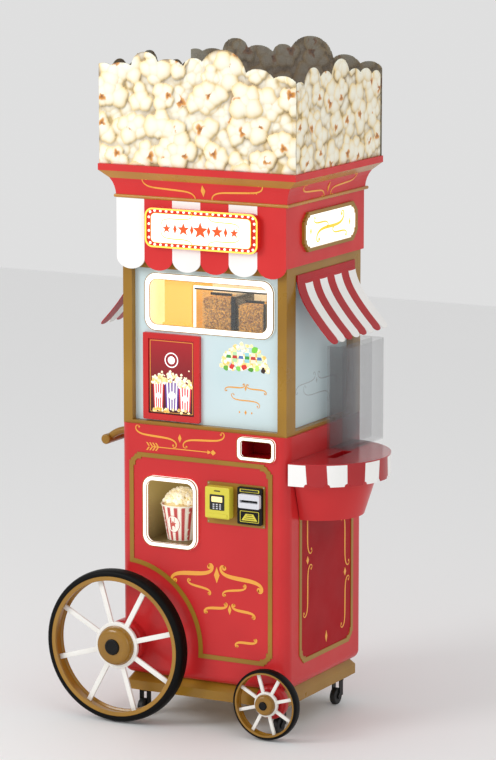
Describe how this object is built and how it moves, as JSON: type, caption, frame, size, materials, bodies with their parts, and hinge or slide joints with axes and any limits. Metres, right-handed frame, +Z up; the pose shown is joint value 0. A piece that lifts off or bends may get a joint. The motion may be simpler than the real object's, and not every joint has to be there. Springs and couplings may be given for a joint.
{
  "type": "popcorn vending cart",
  "caption": "Cart-style popcorn vending machine: red and gold cabinet with lit kernel window, pickup bay, touch screen, striped awnings, side shelf and show wheels.",
  "frame": {"origin": "on the floor, under the middle of the whole machine's box", "axes": "+Z up, -Y towards the customer at the front, +X towards the side with the shelf"},
  "size_m": [1.1648, 0.74, 2.397],
  "materials": {
    "red_paint": "gloss powder coat",
    "gold_paint": "satin gold enamel",
    "white_paint": "gloss white enamel",
    "blue_panel": "satin powder coat",
    "lit_acrylic": "opal acrylic, lit from behind",
    "clear_acrylic": "polished, clear",
    "pane_glass": "clear pane",
    "amber_glass": "tinted",
    "black_plastic": "moulded, fine texture",
    "yellow_plastic": "moulded",
    "display": "cover glass over a display",
    "tyre_black": "smooth solid tyre",
    "castor_tread": "moulded",
    "printed_board": "flat foam board with a popcorn print",
    "stripe_sheet": "red and white striped gloss sheet",
    "steel": "brushed",
    "galvanised": "zinc-plated and lacquered",
    "paper_cup": "red and white striped cup, filled"
  },
  "bodies": {
    "cabinet": {"plinth": "gold_paint", "lower_shell": "red_paint", "upper_frame": "gold_paint", "upper_panels": "blue_panel", "window_frame": "lit_acrylic", "window_glass": "pane_glass", "screen_bezel": "red_paint", "touch_screen": "display", "bag_frame": "lit_acrylic", "bag_tray": "red_paint", "pickup_frame": "lit_acrylic", "pickup_bay": "steel", "payment_plate": "gold_paint", "card_reader": "yellow_plastic", "bill_acceptor": "yellow_plastic", "bill_mouth": "black_plastic", "front_trim": "gold_paint", "side_trims": "gold_paint", "head_box": "red_paint", "front_valance": "stripe_sheet", "marquee_case": "red_paint", "marquee_bulbs": "lit_acrylic", "side_signs": "gold_paint", "cornice_cove": "red_paint", "cornice_gold": "gold_paint", "cornice_cap": "red_paint", "topper_front": "printed_board", "topper_rear": "printed_board", "topper_sides": "printed_board", "awnings": "stripe_sheet", "shelf_top": "red_paint", "shelf_skirt": "stripe_sheet", "shelf_bin": "red_paint", "leaflet_holder": "clear_acrylic", "push_handle": "gold_paint", "wheel_mounts": "red_paint", "castor_plates": "galvanised", "door_hinges": "steel", "kernel_hoppers": "clear_acrylic", "popping_chamber": "amber_glass", "popcorn_chute": "steel", "control_box": "galvanised", "power_inlet": "black_plastic"},
    "pickup_door": {"pickup_door": "clear_acrylic"},
    "popcorn_cup": {"popcorn_cup": "paper_cup"},
    "rear_door": {"rear_door": "red_paint"},
    "door_lock": {"door_lock": "black_plastic"},
    "big_wheel": {"big_tyre": "tyre_black", "big_rim": "gold_paint", "big_spokes": "white_paint", "big_hub": "gold_paint"},
    "small_wheel": {"small_tyre": "tyre_black", "small_rim": "gold_paint", "small_spokes": "white_paint", "small_hub": "gold_paint"},
    "castor_front_left": {"castor_fork_front_left": "black_plastic"},
    "castor_wheel_front_left": {"castor_wheel_front_left": "castor_tread"},
    "castor_front_right": {"castor_fork_front_right": "black_plastic"},
    "castor_wheel_front_right": {"castor_wheel_front_right": "castor_tread"},
    "castor_rear_left": {"castor_fork_rear_left": "black_plastic"},
    "castor_wheel_rear_left": {"castor_wheel_rear_left": "castor_tread"},
    "castor_rear_right": {"castor_fork_rear_right": "black_plastic"},
    "castor_wheel_rear_right": {"castor_wheel_rear_right": "castor_tread"}
  },
  "joints": [
    {"name": "big_wheel_spin", "type": "hinge", "parent": "cabinet", "child": "big_wheel", "pos_m": [-0.3084, -0.328, 0.278], "axis": [0, 1, 0], "continuous": true},
    {"name": "small_wheel_spin", "type": "hinge", "parent": "cabinet", "child": "small_wheel", "pos_m": [0.2744, -0.304, 0.129], "axis": [0, 1, 0], "continuous": true},
    {"name": "pickup_door_slide", "type": "slide", "parent": "cabinet", "child": "pickup_door", "axis": [0, 0, 1], "range_m": [0, 0.227]},
    {"name": "popcorn_cup_slide", "type": "slide", "parent": "cabinet", "child": "popcorn_cup", "axis": [0, 1, 0], "range_m": [-0.3, 0]},
    {"name": "rear_door_hinge", "type": "hinge", "parent": "cabinet", "child": "rear_door", "pos_m": [-0.304, 0.342, 0.985], "axis": [0, 0, 1], "range_deg": [0, 110]},
    {"name": "door_lock_turn", "type": "hinge", "parent": "rear_door", "child": "door_lock", "pos_m": [0.262, 0.35, 0.98], "axis": [0, -1, 0], "range_deg": [-90, 0]},
    {"name": "castor_front_left_swivel", "type": "hinge", "parent": "cabinet", "child": "castor_front_left", "pos_m": [-0.272, -0.186, 0.09], "axis": [0, 0, 1], "continuous": true},
    {"name": "castor_front_left_roll", "type": "hinge", "parent": "castor_front_left", "child": "castor_wheel_front_left", "pos_m": [-0.272, -0.206, 0.03], "axis": [1, 0, 0], "continuous": true},
    {"name": "castor_front_right_swivel", "type": "hinge", "parent": "cabinet", "child": "castor_front_right", "pos_m": [0.272, -0.186, 0.09], "axis": [0, 0, 1], "continuous": true},
    {"name": "castor_front_right_roll", "type": "hinge", "parent": "castor_front_right", "child": "castor_wheel_front_right", "pos_m": [0.272, -0.206, 0.03], "axis": [1, 0, 0], "continuous": true},
    {"name": "castor_rear_left_swivel", "type": "hinge", "parent": "cabinet", "child": "castor_rear_left", "pos_m": [-0.272, 0.262, 0.09], "axis": [0, 0, 1], "continuous": true},
    {"name": "castor_rear_left_roll", "type": "hinge", "parent": "castor_rear_left", "child": "castor_wheel_rear_left", "pos_m": [-0.272, 0.242, 0.03], "axis": [1, 0, 0], "continuous": true},
    {"name": "castor_rear_right_swivel", "type": "hinge", "parent": "cabinet", "child": "castor_rear_right", "pos_m": [0.272, 0.262, 0.09], "axis": [0, 0, 1], "continuous": true},
    {"name": "castor_rear_right_roll", "type": "hinge", "parent": "castor_rear_right", "child": "castor_wheel_rear_right", "pos_m": [0.272, 0.242, 0.03], "axis": [1, 0, 0], "continuous": true}
  ]
}
